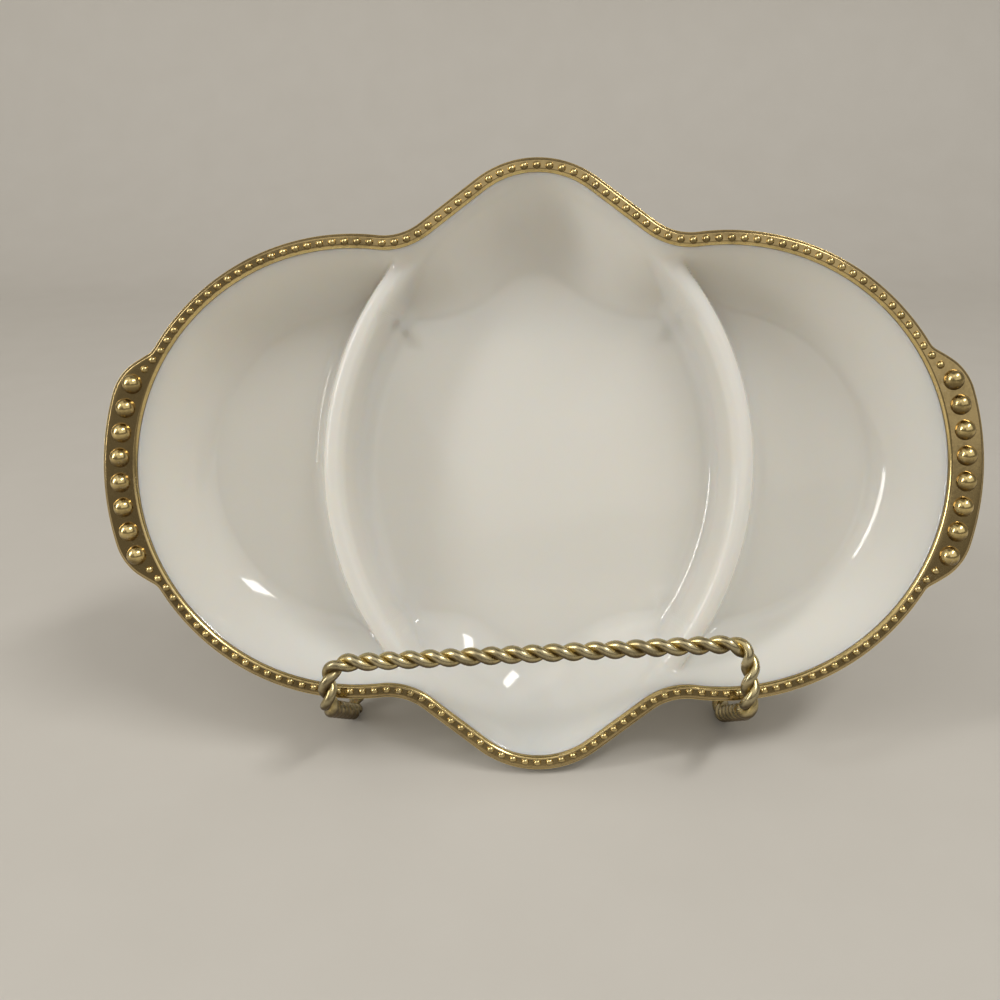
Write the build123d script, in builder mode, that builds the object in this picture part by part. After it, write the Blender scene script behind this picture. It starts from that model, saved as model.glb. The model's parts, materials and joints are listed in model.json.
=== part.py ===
"""Three-compartment opal glass serving dish with a gilded beaded rim, standing
in a folding easel bent from a twisted pair of brass wires.

Millimetres. +Z is up, the dish faces -Y and leans back towards +Y, and +X is to
the right of someone looking at the dish. The origin is on the table, under the
middle of the whole part.
"""
from build123d import *
import math
import os

# ---- Dish outline, measured to the inner edge of the gilded band ----
lobe_offset = 59.5          # centre of the dish to the centre of a lobe
lobe_radius = 70.5
tip_rise = 23.1             # top of the lobes to the top and bottom points
tip_radius = 27.5
tip_flank_angle = 37.0      # slope of the straight flank beside a point
waist_radius = 23.5         # hollow curve between a point and a lobe

# ---- Gilded band and its beads ----
band_width = 4.6
gilt_thickness = 1.4
rim_bevel = 0.7
ridge_width = 0.5
ridge_height = 0.4
bead_radius = 1.3
bead_pitch = 4.0
bead_start_angle = 32.0     # end of a lobe to the first bead of the row, about the lobe's centre
lead_bead_count = 2         # beads between the row and the large beads

# ---- End handles ----
handle_projection = 6.5     # rim to the end of a handle
handle_end_crown = 6.0      # shoulder corners to the end of a handle
handle_shoulder_height = 31.8
handle_shoulder_radius = 18.0
handle_flank_rise = 6.4     # shoulders to where a handle leaves the rim
handle_root_radius = 6.0
handle_bead_radius = 3.2
handle_bead_pitch = 8.1
handle_bead_count = 8
handle_bead_inset = 5.7     # end of the handle to the row of large beads
handle_bead_arc_radius = 83.0

# ---- Glass body ----
dish_depth = 34.0           # top of the rim to the underside of the base
floor_depth = 28.0
flange_thickness = 4.0
wall_thickness = 4.0
lobe_inset = 18.0           # how far the wall comes in by the floor, at a lobe
tip_sinking = 0.515         # part of the points' rise that is gone by the floor
tip_tightening = 11.5       # how much smaller a point's radius is by the floor
wall_draft_share = 0.3      # part of the wall's spread that is straight draft
wall_sections = 5
base_fillet = 2.5

# ---- Dividers ----
divider_crest = 67.5        # centre of the dish to the crest of a divider
divider_arc_radius = 103.0
divider_crest_width = 6.0
divider_side_draft = 3.5    # crest edge to the foot, on either side
divider_crest_depth = 8.0   # top of the rim down to the crest
divider_crest_fillet = 2.7
divider_foot_fillet = 6.5

# ---- Twisted wire ----
wire_radius = 1.45
twist_radius = 1.5          # centreline of the pair to the centreline of one wire

# ---- Easel frame ----
lean = 19.0                 # dish and back rest, from upright
arm_slope = 36.0            # arms, down towards the back
frame_half_width = 65.5
rest_length = 140.0         # heel corner to the top bar
lip_reach = 14.0            # rim plane forward to the lip bar
left_lip_height = 14.0
right_lip_height = 21.0
heel_radius = 8.0
hook_radius = 8.0
lip_radius = 6.5
top_corner_radius = 14.0
seat_gap = 0.3              # dish to the wires that carry it

# ---- Ferrule, hinge rod and lugs ----
ferrule_radius = 3.4
ferrule_length = 16.0
wire_end_gap = 0.4
socket_clearance = 0.1      # twisted pair to the bores that hold it
rod_radius = 1.5
rod_setback = 6.0           # plane of the back rest to the hinge rod
rod_fit = 0.02
lug_width = 9.0
lug_height = 8.0
lug_below_bend = 1.0        # end of the top corner's bend to the top of a lug
lug_front = 0.6             # plane of the back rest to the front of a lug
lug_back_wall = 1.6

# ---- Back leg ----
leg_spread = 20.0           # leg, from upright
hinge_length = 8.0
hinge_radius = 3.5
hinge_fit = 0.05            # radial running clearance on the rod
hinge_side_gap = 0.3
leg_socket_radius = 4.2
leg_socket_reach = 12.0
leg_wire_start = 5.2        # hinge rod to the end of the leg's wires
foot_radius = 12.0
stop_width = 5.0
stop_thickness = 2.2
stop_overlap = 2.0          # stop finger past the top bar's centre

# ---- Worked out from the sizes above ----
pair_radius = twist_radius + wire_radius
bore_radius = pair_radius + socket_clearance
bead_row = (band_width - rim_bevel) / 2   # inner edge of the band to the middle of its channel
tip_height = lobe_radius + tip_rise
tip_inset = lobe_inset + tip_sinking * tip_rise
rim_reach = lobe_offset + lobe_radius + band_width
handle_reach = rim_reach + handle_projection
handle_shoulder = handle_reach - handle_end_crown
handle_root_height = handle_shoulder_height + handle_flank_rise
up = Vector(0, math.sin(math.radians(lean)), math.cos(math.radians(lean)))
out = Vector(0, -math.cos(math.radians(lean)), math.sin(math.radians(lean)))
arm = Vector(0, -math.cos(math.radians(arm_slope)), math.sin(math.radians(arm_slope)))
leg_way = Vector(0, math.sin(math.radians(leg_spread)), -math.cos(math.radians(leg_spread)))
arm_tilt = math.radians(arm_slope - lean)


def bend_centre(way_in, way_out, radius):
    """Centre of a bend, from the corner of the two straight runs that leave it."""
    half_angle = math.radians(way_in.get_angle(way_out)) / 2
    return (way_in + way_out).normalized() * (radius / math.sin(half_angle))


# The heel's bend touches the table, and the dish stands on the arms with its rim's front edge.
heel_z = pair_radius + heel_radius - bend_centre(arm, up, heel_radius).Z
rest_to_rim = ferrule_radius + seat_gap + dish_depth
rim_half_height = math.sqrt((lobe_radius + band_width) ** 2 - (frame_half_width - lobe_offset) ** 2)
arm_top = pair_radius / math.cos(arm_tilt) + (rest_to_rim + ridge_height) * math.tan(arm_tilt)
heel_to_centre = rim_half_height + seat_gap + arm_top

# From the heel's corner: the hook's corner, the hinge rod and the leg's foot.
rod_drop = top_corner_radius + lug_below_bend + lug_height / 2
hook_offset = arm * ((rest_to_rim + lip_reach) / math.cos(arm_tilt))
rod_offset = up * (rest_length - rod_drop) - out * rod_setback
leg_length = (heel_z + rod_offset.Z - pair_radius) / -leg_way.Z
front_reach = (hook_offset + bend_centre(-arm, up, hook_radius)).Y - hook_radius - pair_radius
back_reach = (rod_offset + leg_way * leg_length).Y + pair_radius
heel = Vector(0, -(front_reach + back_reach) / 2, heel_z)

rim_centre = heel + up * heel_to_centre + out * rest_to_rim
rod_point = heel + rod_offset
dish_plane = Plane(origin=rim_centre, x_dir=(1, 0, 0), z_dir=out)
rest_plane = Plane(origin=heel, x_dir=(1, 0, 0), z_dir=out)
hinge_x = frame_half_width - lug_width / 2 - hinge_side_gap - hinge_length / 2


def quarter(lobe, tip, tip_round, waist):
    """Upper right quarter of an outline, from the lobe's end to the top point:
    lobe arc, hollow waist arc, straight flank and point arc, all tangent."""
    slope = math.radians(tip_flank_angle)
    flank_normal = Vector(math.sin(slope), math.cos(slope))
    flank_way = Vector(math.cos(slope), -math.sin(slope))
    lobe_centre = Vector(lobe_offset, 0)
    tip_centre = Vector(0, tip - tip_round)
    start = tip_centre + flank_normal * (tip_round + waist)
    across = start - lobe_centre
    along = across.dot(flank_way)
    flank_length = -along - math.sqrt(along ** 2 - across.dot(across) + (lobe + waist) ** 2)
    waist_centre = start + flank_way * flank_length
    to_waist = waist_centre - lobe_centre
    lobe_turn = math.degrees(math.atan2(to_waist.Y, to_waist.X))
    with BuildLine() as line:
        CenterArc(lobe_centre, lobe, 0, lobe_turn)
        CenterArc(waist_centre, waist, 180 + lobe_turn, 90 - tip_flank_angle - lobe_turn)
        Line(line.line @ 1, tip_centre + flank_normal * tip_round)
        CenterArc(tip_centre, tip_round, 90 - tip_flank_angle, tip_flank_angle)
    return line.wire()


def outline(lobe, tip, tip_round, waist):
    """Whole outline from four mirrored quarters."""
    with BuildSketch() as shape:
        with BuildLine():
            add(quarter(lobe, tip, tip_round, waist))
            mirror(about=Plane.YZ)
            mirror(about=Plane.XZ)
        make_face()
    return shape.sketch


def rim(grow):
    """Outline of the gilded band's inner edge, grown outwards."""
    return outline(lobe_radius + grow, tip_height + grow, tip_radius + grow, waist_radius - grow)


def wall_share(depth_share):
    """How far the wall has come in, from 0 at the rim to 1 at the floor: a straight
    draft and a quarter of an ellipse, added."""
    bowl = 1 - math.sqrt(1 - depth_share ** 2)
    return wall_draft_share * depth_share + (1 - wall_draft_share) * bowl


def wall_outline(depth_share, grow):
    """Outline of the wall at a share of its depth, grown outwards by a wall."""
    share = wall_share(depth_share)
    lobe = lobe_radius + grow - lobe_inset * share
    tip = tip_height + grow - tip_inset * share
    tip_round = tip_radius + grow - tip_tightening * share
    return outline(lobe, tip, tip_round, waist_radius - grow + lobe_inset * share)


def gilded_face():
    """The rim band's outer outline with a handle at each end."""
    root_reach = lobe_offset + math.sqrt((lobe_radius + band_width) ** 2 - handle_root_height ** 2)
    with BuildSketch() as handle:
        with BuildLine():
            Polyline(
                (handle_shoulder, handle_shoulder_height),
                (root_reach, handle_root_height),
                (root_reach, -handle_root_height),
                (handle_shoulder, -handle_shoulder_height),
            )
            ThreePointArc(
                (handle_shoulder, handle_shoulder_height),
                (handle_reach, 0),
                (handle_shoulder, -handle_shoulder_height),
            )
        make_face()
        fillet(handle.vertices().group_by(Axis.X)[-1], handle_shoulder_radius)
    with BuildSketch() as shape:
        add(rim(band_width))
        add(handle.sketch)
        add(mirror(handle.sketch, about=Plane.YZ, mode=Mode.PRIVATE))
        roots = [v for v in shape.vertices() if abs(abs(v.Y) - handle_root_height) < handle_root_radius / 4]
        fillet(roots, handle_root_radius)
    return shape.sketch


def grown(face, amount):
    """A face grown outwards, or shrunk by a negative amount."""
    with BuildSketch() as shape:
        offset(face, amount=amount, mode=Mode.ADD)
    return shape.sketch


# ---- Glass dish ----
with BuildPart() as pockets:
    for step in range(wall_sections):
        share = step / (wall_sections - 1)
        with BuildSketch(dish_plane.offset(-share * floor_depth)):
            add(wall_outline(share, 0))
    loft()
    crest_height = floor_depth - divider_crest_depth
    foot = divider_crest_width / 2 + divider_side_draft
    half_arc = math.degrees(math.asin(lobe_radius / divider_arc_radius))
    for side in (1, -1):
        floor_plane = dish_plane.offset(-floor_depth)
        arc_centre = floor_plane.from_local_coords((side * (divider_crest - divider_arc_radius), 0, 0))
        arc_axis = Axis(arc_centre, out)
        start = Vector(side, 0, 0).rotate(Axis((0, 0, 0), out), -half_arc)
        with BuildSketch(Plane(origin=arc_centre, x_dir=start, z_dir=start.cross(out))) as profile:
            with BuildLine():
                Polyline(
                    (divider_arc_radius - foot - divider_foot_fillet, -wall_thickness),
                    (divider_arc_radius - foot - divider_foot_fillet, 0),
                    (divider_arc_radius - foot, 0),
                    (divider_arc_radius - divider_crest_width / 2, crest_height),
                    (divider_arc_radius + divider_crest_width / 2, crest_height),
                    (divider_arc_radius + foot, 0),
                    (divider_arc_radius + foot + divider_foot_fillet, 0),
                    (divider_arc_radius + foot + divider_foot_fillet, -wall_thickness),
                    close=True,
                )
            make_face()
            floor_corners = profile.vertices().group_by(Axis.Y)[1].sort_by(Axis.X)
            fillet(floor_corners[1:-1], divider_foot_fillet)
            fillet(profile.vertices().group_by(Axis.Y)[-1], divider_crest_fillet)
        revolve(axis=arc_axis, revolution_arc=2 * half_arc, mode=Mode.SUBTRACT)

with BuildPart() as glass_dish:
    for step in range(wall_sections):
        share = step / (wall_sections - 1)
        depth = gilt_thickness + share * (dish_depth - gilt_thickness)
        with BuildSketch(dish_plane.offset(-depth)):
            add(wall_outline(share, wall_thickness))
    loft()
    with BuildSketch(dish_plane.offset(-flange_thickness)):
        add(gilded_face())
    extrude(amount=flange_thickness - gilt_thickness)
    add(pockets.part, mode=Mode.SUBTRACT)
    base_edges = glass_dish.edges().group_by(Axis(rim_centre, out))[0]
    fillet(base_edges, base_fillet)
glass_dish.part.label = "glass_dish"

# ---- Gilded rim: a band with a bevelled outer edge and a ridge along each side ----
band = gilded_face()
well_mouth = rim(0)
with BuildPart() as gilt_rim:
    with BuildSketch(dish_plane.offset(-gilt_thickness)):
        add(band)
        add(well_mouth, mode=Mode.SUBTRACT)
    extrude(amount=gilt_thickness)
    top_face = gilt_rim.faces().sort_by(Axis(rim_centre, out))[-1]
    chamfer(top_face.outer_wire().edges(), rim_bevel)
    with BuildSketch(dish_plane):
        add(rim(ridge_width))
        add(well_mouth, mode=Mode.SUBTRACT)
    extrude(amount=ridge_height)
    with BuildSketch(dish_plane):
        add(grown(band, -rim_bevel))
        add(grown(band, -rim_bevel - ridge_width), mode=Mode.SUBTRACT)
    extrude(amount=ridge_height)
gilt_rim.part.label = "gilt_rim"

# ---- Large beads on the handles, in a shallow arc at each end ----
row_angle = math.degrees(handle_bead_pitch / handle_bead_arc_radius) * (handle_bead_count - 1)
row_centre = handle_reach - handle_bead_inset - handle_bead_arc_radius
with BuildPart(dish_plane) as right_handle_beads:
    with Locations((row_centre, 0)):
        with PolarLocations(handle_bead_arc_radius, handle_bead_count, -row_angle / 2, row_angle, endpoint=True):
            Sphere(handle_bead_radius, arc_size1=0, align=(Align.CENTER, Align.CENTER, Align.MIN))
right_handle_beads.part.label = "right_handle_beads"
with BuildPart() as left_handle_beads:
    mirror(right_handle_beads.part, about=Plane.YZ)
left_handle_beads.part.label = "left_handle_beads"

# ---- Small beads: a row from the first bead to each point, and a few that lead to the large beads ----
bead_line = quarter(lobe_radius + bead_row, tip_height + bead_row, tip_radius + bead_row, waist_radius - bead_row)
first_bead = (lobe_radius + bead_row) * math.radians(bead_start_angle)
bead_run = bead_line.length - first_bead
bead_count = round(bead_run / bead_pitch)
row_start = bead_line.position_at(first_bead / bead_line.length)
row_end = math.radians(row_angle / 2)
last_large_bead = Vector(row_centre, 0) + Vector(math.cos(row_end), math.sin(row_end)) * handle_bead_arc_radius
lead_way = (last_large_bead - row_start).normalized()
spots = [row_start + lead_way * bead_pitch * (bead + 1) for bead in range(lead_bead_count)]
for bead in range(bead_count):
    spots.append(bead_line.position_at((first_bead + bead * bead_run / bead_count) / bead_line.length))
point_height = tip_height + bead_row
bead_places = [(0, point_height), (0, -point_height)]
for spot in spots:
    for side in (1, -1):
        bead_places += [(side * spot.X, spot.Y), (side * spot.X, -spot.Y)]
with BuildPart(dish_plane) as rim_beads:
    with Locations(*bead_places):
        Sphere(bead_radius, arc_size1=0, align=(Align.CENTER, Align.CENTER, Align.MIN))
rim_beads.part.label = "rim_beads"


# ---- Twisted pairs of wire, each as the round envelope of its two wires ----
hook_rise = (rest_to_rim + lip_reach) * math.tan(arm_tilt)
hook_z = rest_to_rim + lip_reach
half_gap = wire_end_gap / 2
frame_corners = [
    rest_plane.from_local_coords(corner)
    for corner in (
        (half_gap, rest_length, 0),
        (frame_half_width, rest_length, 0),
        (frame_half_width, 0, 0),
        (frame_half_width, hook_rise, hook_z),
        (frame_half_width, hook_rise + right_lip_height, hook_z),
        (-frame_half_width, hook_rise + left_lip_height, hook_z),
        (-frame_half_width, hook_rise, hook_z),
        (-frame_half_width, 0, 0),
        (-frame_half_width, rest_length, 0),
        (-half_gap, rest_length, 0),
    )
]
frame_radii = [top_corner_radius, heel_radius, hook_radius, lip_radius]
frame_radii += frame_radii[::-1]

socket_end = rod_point + leg_way * leg_wire_start
foot_end = rod_point + leg_way * leg_length
aside = Vector(hinge_x, 0, 0)
leg_corners = [socket_end + aside, foot_end + aside, foot_end - aside, socket_end - aside]

wire_pairs = []
for name, corners, radii in (
    ("frame_wire_pair", frame_corners, frame_radii),
    ("leg_wire_pair", leg_corners, [foot_radius, foot_radius]),
):
    with BuildPart() as wire_pair:
        with BuildLine() as route:
            FilletPolyline(*corners, radius=radii)
        with BuildSketch(Plane(origin=route.line @ 0, z_dir=route.line % 0)):
            Circle(pair_radius)
        sweep()
    wire_pair.part.label = name
    wire_pairs.append(wire_pair.part)

# ---- Sleeve over the ends of the frame's pair, in the middle of the top bar ----
top_middle = rest_plane.from_local_coords((0, rest_length, 0))
with BuildPart() as top_ferrule:
    with BuildSketch(Plane(origin=top_middle, z_dir=(1, 0, 0))):
        Circle(ferrule_radius)
        Circle(bore_radius, mode=Mode.SUBTRACT)
    extrude(amount=ferrule_length / 2, both=True)
top_ferrule.part.label = "top_ferrule"

# ---- Hinge rod and the lugs that hold it behind the uprights ----
rod_plane = Plane(origin=rod_point, z_dir=(1, 0, 0))
with BuildPart() as hinge_rod:
    with BuildSketch(rod_plane):
        Circle(rod_radius)
    extrude(amount=frame_half_width + lug_width / 2, both=True)
hinge_rod.part.label = "hinge_rod"

rod_lugs = []
lug_depth = rod_setback + rod_radius + lug_back_wall - lug_front
for name, side in (("left", -1), ("right", 1)):
    with BuildPart() as lug:
        with BuildSketch(rest_plane.offset(-lug_front)):
            with Locations((side * frame_half_width, rest_length - rod_drop)):
                Rectangle(lug_width, lug_height)
        extrude(amount=-lug_depth)
        with BuildSketch(Plane(origin=heel + Vector(side * frame_half_width, 0, 0), x_dir=(1, 0, 0), z_dir=up)):
            Circle(bore_radius)
        extrude(amount=rest_length, mode=Mode.SUBTRACT)
        with BuildSketch(rod_plane):
            Circle(rod_radius + rod_fit)
        extrude(amount=frame_half_width + lug_width, both=True, mode=Mode.SUBTRACT)
    lug.part.label = f"{name}_rod_lug"
    rod_lugs.append(lug.part)

# ---- Leg hinges: a barrel on the rod, a socket for the leg and a finger that stops it ----
leg_hinges = []
stop_front = -pair_radius - seat_gap
for name, side in (("left", -1), ("right", 1)):
    barrel_centre = rod_point + Vector(side * hinge_x, 0, 0)
    with BuildPart() as leg_hinge:
        with BuildSketch(Plane(origin=barrel_centre, z_dir=(1, 0, 0))):
            Circle(hinge_radius)
        extrude(amount=hinge_length / 2, both=True)
        with BuildSketch(Plane(origin=barrel_centre, z_dir=leg_way)):
            Circle(leg_socket_radius)
        extrude(amount=leg_socket_reach)
        with BuildSketch(rest_plane.offset(stop_front)):
            with Locations((side * hinge_x, rest_length - (rod_drop - stop_overlap) / 2)):
                Rectangle(stop_width, rod_drop + stop_overlap)
        extrude(amount=-stop_thickness)
        with BuildSketch(Plane(origin=socket_end + Vector(side * hinge_x, 0, 0), z_dir=leg_way)):
            Circle(bore_radius)
        extrude(amount=leg_socket_reach, mode=Mode.SUBTRACT)
        with BuildSketch(Plane(origin=barrel_centre, z_dir=(1, 0, 0))):
            Circle(rod_radius + hinge_fit)
        extrude(amount=hinge_length, both=True, mode=Mode.SUBTRACT)
    leg_hinge.part.label = f"{name}_leg_hinge"
    leg_hinges.append(leg_hinge.part)

# ---- One file for each piece ----
pieces = [glass_dish.part, gilt_rim.part, rim_beads.part, left_handle_beads.part, right_handle_beads.part]
pieces += [top_ferrule.part, hinge_rod.part, *wire_pairs, *rod_lugs, *leg_hinges]
os.makedirs("parts", exist_ok=True)
for piece in pieces:
    export_step(piece, f"parts/{piece.label}.step")
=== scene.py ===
import json
import math

import bpy
import numpy as np
from mathutils import Matrix, Vector


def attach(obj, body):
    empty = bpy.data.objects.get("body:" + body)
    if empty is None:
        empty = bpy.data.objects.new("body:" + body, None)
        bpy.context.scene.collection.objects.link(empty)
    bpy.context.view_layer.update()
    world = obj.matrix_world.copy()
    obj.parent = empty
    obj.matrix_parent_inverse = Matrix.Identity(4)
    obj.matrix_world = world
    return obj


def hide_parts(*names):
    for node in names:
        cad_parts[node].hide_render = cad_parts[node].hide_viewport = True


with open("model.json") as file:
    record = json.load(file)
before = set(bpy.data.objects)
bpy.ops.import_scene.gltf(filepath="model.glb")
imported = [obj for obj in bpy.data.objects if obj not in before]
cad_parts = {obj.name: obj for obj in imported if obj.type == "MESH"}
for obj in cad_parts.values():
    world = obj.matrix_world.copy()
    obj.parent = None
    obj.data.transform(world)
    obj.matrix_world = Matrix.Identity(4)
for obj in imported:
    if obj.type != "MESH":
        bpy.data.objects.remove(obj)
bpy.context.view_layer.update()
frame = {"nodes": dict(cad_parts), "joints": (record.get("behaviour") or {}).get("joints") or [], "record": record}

bl_info = {
    "name": "Chip and Dip Server",
    "version": (1, 0, 0),
    "blender": (4, 5, 0),
    "location": "View3D > Sidebar > Server",
    "description": "Opal glass dish with a gilded beaded rim, on a folding easel of twisted brass wire",
    "category": "Object",
}

# ---- Where the CAD puts things: the dish's lean, the middle of its floor and the hinge rod ----
FLOOR_MOUNT = next(mount for mount in frame["record"]["mounts"] if mount["name"] == "centre_floor")
JOINTS = {joint["name"]: joint for joint in frame["joints"]}
ACROSS = np.array([1.0, 0.0, 0.0])
UP = np.array(JOINTS["dish_lift"]["axis"], float)
OUT = np.array(FLOOR_MOUNT["axis"], float)
ROD = np.array(JOINTS["leg_fold"]["pos_m"], float)


# ---------------------------------------------------------------- sizes and colours

def length(name, description, default):
    """A length in metres for the sidebar."""
    return bpy.props.FloatProperty(
        name=name,
        description=description,
        default=default,
        min=0.0,
        precision=5,
        subtype="DISTANCE",
        unit="LENGTH",
    )


def angle(name, description, degrees):
    """An angle for the sidebar."""
    return bpy.props.FloatProperty(
        name=name,
        description=description,
        default=math.radians(degrees),
        subtype="ANGLE",
        unit="ROTATION",
    )


def share(name, description, default):
    """A number from nought to one for the sidebar."""
    return bpy.props.FloatProperty(
        name=name,
        description=description,
        default=default,
        min=0.0,
        max=1.0,
        subtype="FACTOR",
    )


def number(name, description, default, least):
    """A whole number for the sidebar."""
    return bpy.props.IntProperty(name=name, description=description, default=default, min=least)


def colour(name, description, default):
    """A colour for the sidebar."""
    return bpy.props.FloatVectorProperty(
        name=name,
        description=description,
        default=default,
        size=3,
        min=0.0,
        max=1.0,
        subtype="COLOR",
    )


class DishSizes(bpy.types.PropertyGroup):
    """Outline and section of the glass dish."""

    lobe_offset: length("Lobe offset", "Centre of the dish to the centre of a lobe", 0.0595)
    lobe_radius: length("Lobe radius", "Round end of the well, at the rim", 0.0705)
    tip_rise: length("Tip rise", "Top of the lobes to a point of the well", 0.0231)
    tip_radius: length("Tip radius", "Rounding of a point", 0.0275)
    tip_flank: angle("Tip flank", "Slope of the straight flank beside a point", 37.0)
    waist_radius: length("Waist radius", "Hollow curve between a point and a lobe", 0.0235)
    lobe_inset: length("Lobe inset", "How far the wall comes in by the floor, at a lobe", 0.018)
    tip_sinking: share("Tip sinking", "Part of the points' rise that is gone by the floor", 0.515)
    tip_tightening: length("Tip tightening", "How much smaller a point's rounding is by the floor", 0.0115)
    draft: share("Draft", "Part of the wall's spread that is straight draft", 0.3)
    depth: length("Depth", "Top of the rim to the underside of the base", 0.034)
    floor_depth: length("Floor depth", "Top of the rim to the floor", 0.028)
    flange: length("Flange", "Thickness of the rim", 0.004)
    wall: length("Wall", "Thickness of the wall", 0.004)


class DividerSizes(bpy.types.PropertyGroup):
    """The two curved walls that part the dish in three."""

    crest: length("Crest", "Centre of the dish to the crest of a divider", 0.0675)
    arc: length("Arc", "Radius of a divider in plan", 0.103)
    crest_depth: length("Crest depth", "Top of the rim down to a crest", 0.008)
    crest_width: length("Crest width", "Width of a crest before its edges are rounded", 0.006)
    side_draft: length("Side draft", "Edge of a crest to the foot, on either side", 0.0035)
    crest_round: length("Crest rounding", "Radius of a crest's edges", 0.0029)
    foot_round: length("Foot rounding", "Radius between a divider's side and the floor", 0.0065)
    blend: length("Blend", "Height over which a divider's corner with the wall sharpens", 0.010)


class BandSizes(bpy.types.PropertyGroup):
    """The gilded band round the rim, its handles and its beads."""

    width: length("Width", "Width of the band", 0.0046)
    thickness: length("Thickness", "Thickness of the band", 0.0014)
    crown: length("Crown", "Height of the band's middle over the rim's plane", 0.0003)
    inner_edge: length("Inner edge", "Width of the rounded edge beside the glass", 0.0011)
    outer_edge: length("Outer edge", "Width of the rounded edge beside the lip", 0.0009)
    edge_fall: length("Edge fall", "Fall of a rounded edge", 0.0009)
    lip: length("Lip", "Width of the thin lip along the outer edge", 0.0004)
    bead_row: length("Bead row", "Inner edge of the band to the middle of its beads", 0.00195)
    bead_radius: length("Bead radius", "Radius of a small bead", 0.0013)
    bead_pitch: length("Bead pitch", "Step from bead to bead along the rim", 0.004)
    bead_start: angle("First bead", "End of a lobe to the row's first bead, about the lobe's centre", 32.0)
    lead_beads: number("Lead beads", "Beads between the row and the large beads", 2, least=0)
    handle_projection: length("Handle projection", "Rim to the end of a handle", 0.0065)
    handle_crown: length("Handle crown", "Shoulder corners to the end of a handle", 0.006)
    handle_shoulder: length("Handle shoulder", "Half width of a handle at its shoulders", 0.0318)
    handle_shoulder_radius: length("Shoulder rounding", "Rounding of a handle's shoulders", 0.018)
    handle_flank_rise: length("Handle flank rise", "Shoulders to where a handle leaves the rim", 0.0064)
    handle_root_radius: length("Root rounding", "Rounding where a handle leaves the rim", 0.006)
    large_bead_radius: length("Large bead radius", "Radius of a handle bead", 0.0032)
    large_bead_pitch: length("Large bead pitch", "Step from bead to bead on a handle", 0.0081)
    large_bead_count: number("Large beads", "Beads on a handle", 8, least=1)
    large_bead_inset: length("Large bead inset", "End of a handle to its row of beads", 0.0057)
    large_bead_arc: length("Large bead arc", "Radius of the row of handle beads", 0.083)


class WireSizes(bpy.types.PropertyGroup):
    """The easel's twisted pairs of wire."""

    wire_radius: length("Wire radius", "Radius of one wire", 0.00162)
    twist_radius: length("Twist radius", "Centreline of the pair to the centreline of one wire", 0.00131)
    pitch: length("Pitch", "Length of a full turn of the twist", 0.0128)
    arm_slope: angle("Arm slope", "Arms, down towards the back", 36.0)
    half_width: length("Half width", "Middle of the easel to an upright", 0.0655)
    rest_length: length("Rest length", "Heel corner to the top bar", 0.140)
    lip_reach: length("Lip reach", "Rim plane forward to the lip bar", 0.014)
    left_lip: length("Left lip", "Height of the left hook", 0.014)
    right_lip: length("Right lip", "Height of the right hook", 0.021)
    heel_radius: length("Heel radius", "Bend at the foot of an upright", 0.008)
    hook_radius: length("Hook radius", "Bend at the end of an arm", 0.008)
    lip_radius: length("Lip radius", "Bend between a hook and the lip bar", 0.0065)
    top_radius: length("Top radius", "Bend between an upright and the top bar", 0.014)
    seat_gap: length("Seat gap", "Dish to the wires that carry it", 0.0003)
    end_gap: length("End gap", "Gap between the wires' ends in the sleeve", 0.0004)
    ferrule_radius: length("Sleeve radius", "Outside of the sleeve on the top bar", 0.0034)
    rod_setback: length("Rod setback", "Plane of the back rest to the hinge rod", 0.006)
    rod_drop: length("Rod drop", "Top bar down to the hinge rod", 0.019)
    hinge_x: length("Hinge place", "Middle of the easel to a leg hinge", 0.0567)
    leg_spread: angle("Leg spread", "Back leg, from upright", 20.0)
    leg_start: length("Leg start", "Hinge rod to the end of the leg's wires", 0.0052)
    foot_radius: length("Foot radius", "Bend at the foot of the leg", 0.012)


class Finishes(bpy.types.PropertyGroup):
    """Colours of the glass, the gilding and the brass."""

    glass: colour("Glass", "Opal glass", (0.755, 0.753, 0.725))
    glass_warm: colour("Glass, thick", "Opal glass where it is thicker", (0.745, 0.733, 0.685))
    specks: colour("Specks", "Tiny specks in the glass", (0.42, 0.36, 0.27))
    gold: colour("Gold", "Fired gold", (0.46, 0.345, 0.16))
    # Painted highlight: brighter gold that stands in for light on the tops of beads and along the band's edges.
    gold_highlight: colour("Gold, painted highlight", "Gold on the tops of beads and along edges", (0.78, 0.61, 0.27))
    # Dark gold for cloudy tarnish, and for painted shade beside the glass, in the band's groove and on the beads'
    # lower sides.
    gold_tarnish_and_shade: colour("Gold, tarnish and painted shade", "Tarnish and painted shade on the gold", (0.09, 0.058, 0.024))
    gold_worn: colour("Gold, worn through", "Glass that shows through worn gold", (0.75, 0.66, 0.56))
    wire: colour("Wire", "Twisted brass wire", (0.50, 0.43, 0.26))
    # Painted bounce light: brighter yellow where the twisted wires face each other.
    wire_bounce_light: colour("Wire, painted bounce light", "Painted bounce light, yellower in the grooves", (0.72, 0.55, 0.20))
    # Dark brass for cloudy tarnish, and for painted shade on the wires' undersides.
    wire_tarnish_and_shade: colour("Wire, tarnish and painted shade", "Tarnish, and painted shade on the underside", (0.13, 0.095, 0.05))
    brass: colour("Fittings", "Brass of the sleeve, hinges and lugs", (0.58, 0.42, 0.19))
    brass_bright: colour("Fittings, scratched", "Bare brass in fine scratches", (0.75, 0.6, 0.35))
    table: colour("Table", "Floor and backdrop", (0.64, 0.615, 0.57))


def sizes(group):
    """The sizes or colours of a group in the current scene."""
    return getattr(bpy.context.scene, group)


# ---------------------------------------------------------------- meshes

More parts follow.
